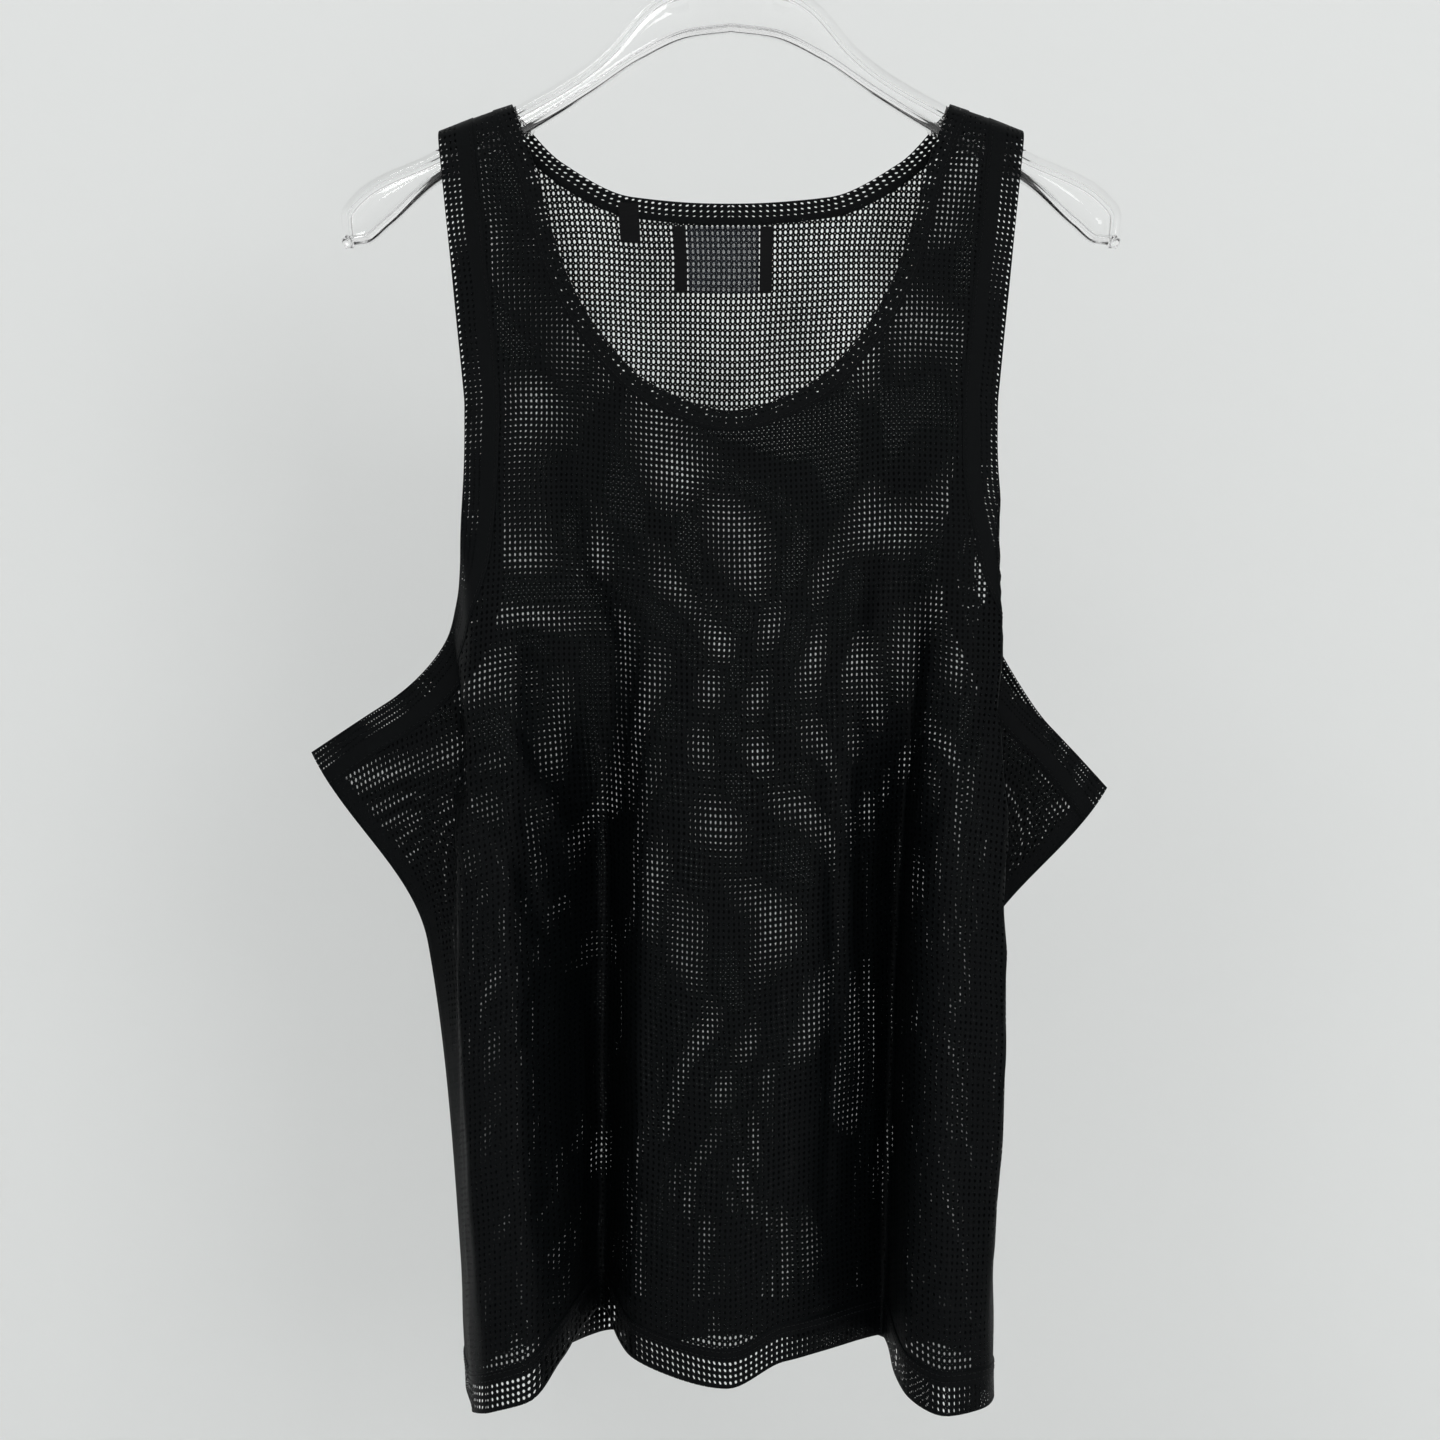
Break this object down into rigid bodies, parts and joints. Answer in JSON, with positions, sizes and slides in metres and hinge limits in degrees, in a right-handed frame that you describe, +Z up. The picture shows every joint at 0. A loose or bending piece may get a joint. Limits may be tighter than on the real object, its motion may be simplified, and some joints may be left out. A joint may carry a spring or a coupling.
{
  "type": "mesh tank top on a hanger",
  "caption": "Black open-mesh sleeveless top with a deep round neck and bound edges, hanging in soft folds on a clear moulded hanger with a steel hook.",
  "frame": {"origin": "the inside of the hook's bow, at the point that hangs on a rail", "axes": "+Z up, the front of the top faces -Y, +X to the right seen from the front"},
  "size_m": [0.4578, 0.1239, 0.8969],
  "materials": {
    "mesh_cloth": "black open mesh knit with oval holes",
    "binding_cloth": "the same mesh folded double as a binding",
    "hem_cloth": "the same mesh turned up double",
    "sheer_label": "sheer black gauze",
    "tape": "dense matt black tape",
    "clear_plastic": "clear moulded plastic",
    "hook_steel": "plain bright steel wire"
  },
  "bodies": {
    "root": {"front_panel": "mesh_cloth", "back_panel": "mesh_cloth", "neck_binding": "binding_cloth", "armhole_binding_left": "binding_cloth", "armhole_binding_right": "binding_cloth", "hem_front": "hem_cloth", "hem_back": "hem_cloth", "neck_label": "sheer_label", "label_strip_left": "tape", "label_strip_right": "tape", "size_tab": "tape", "hanger_body": "clear_plastic", "hanger_hook": "hook_steel"}
  },
  "joints": []
}
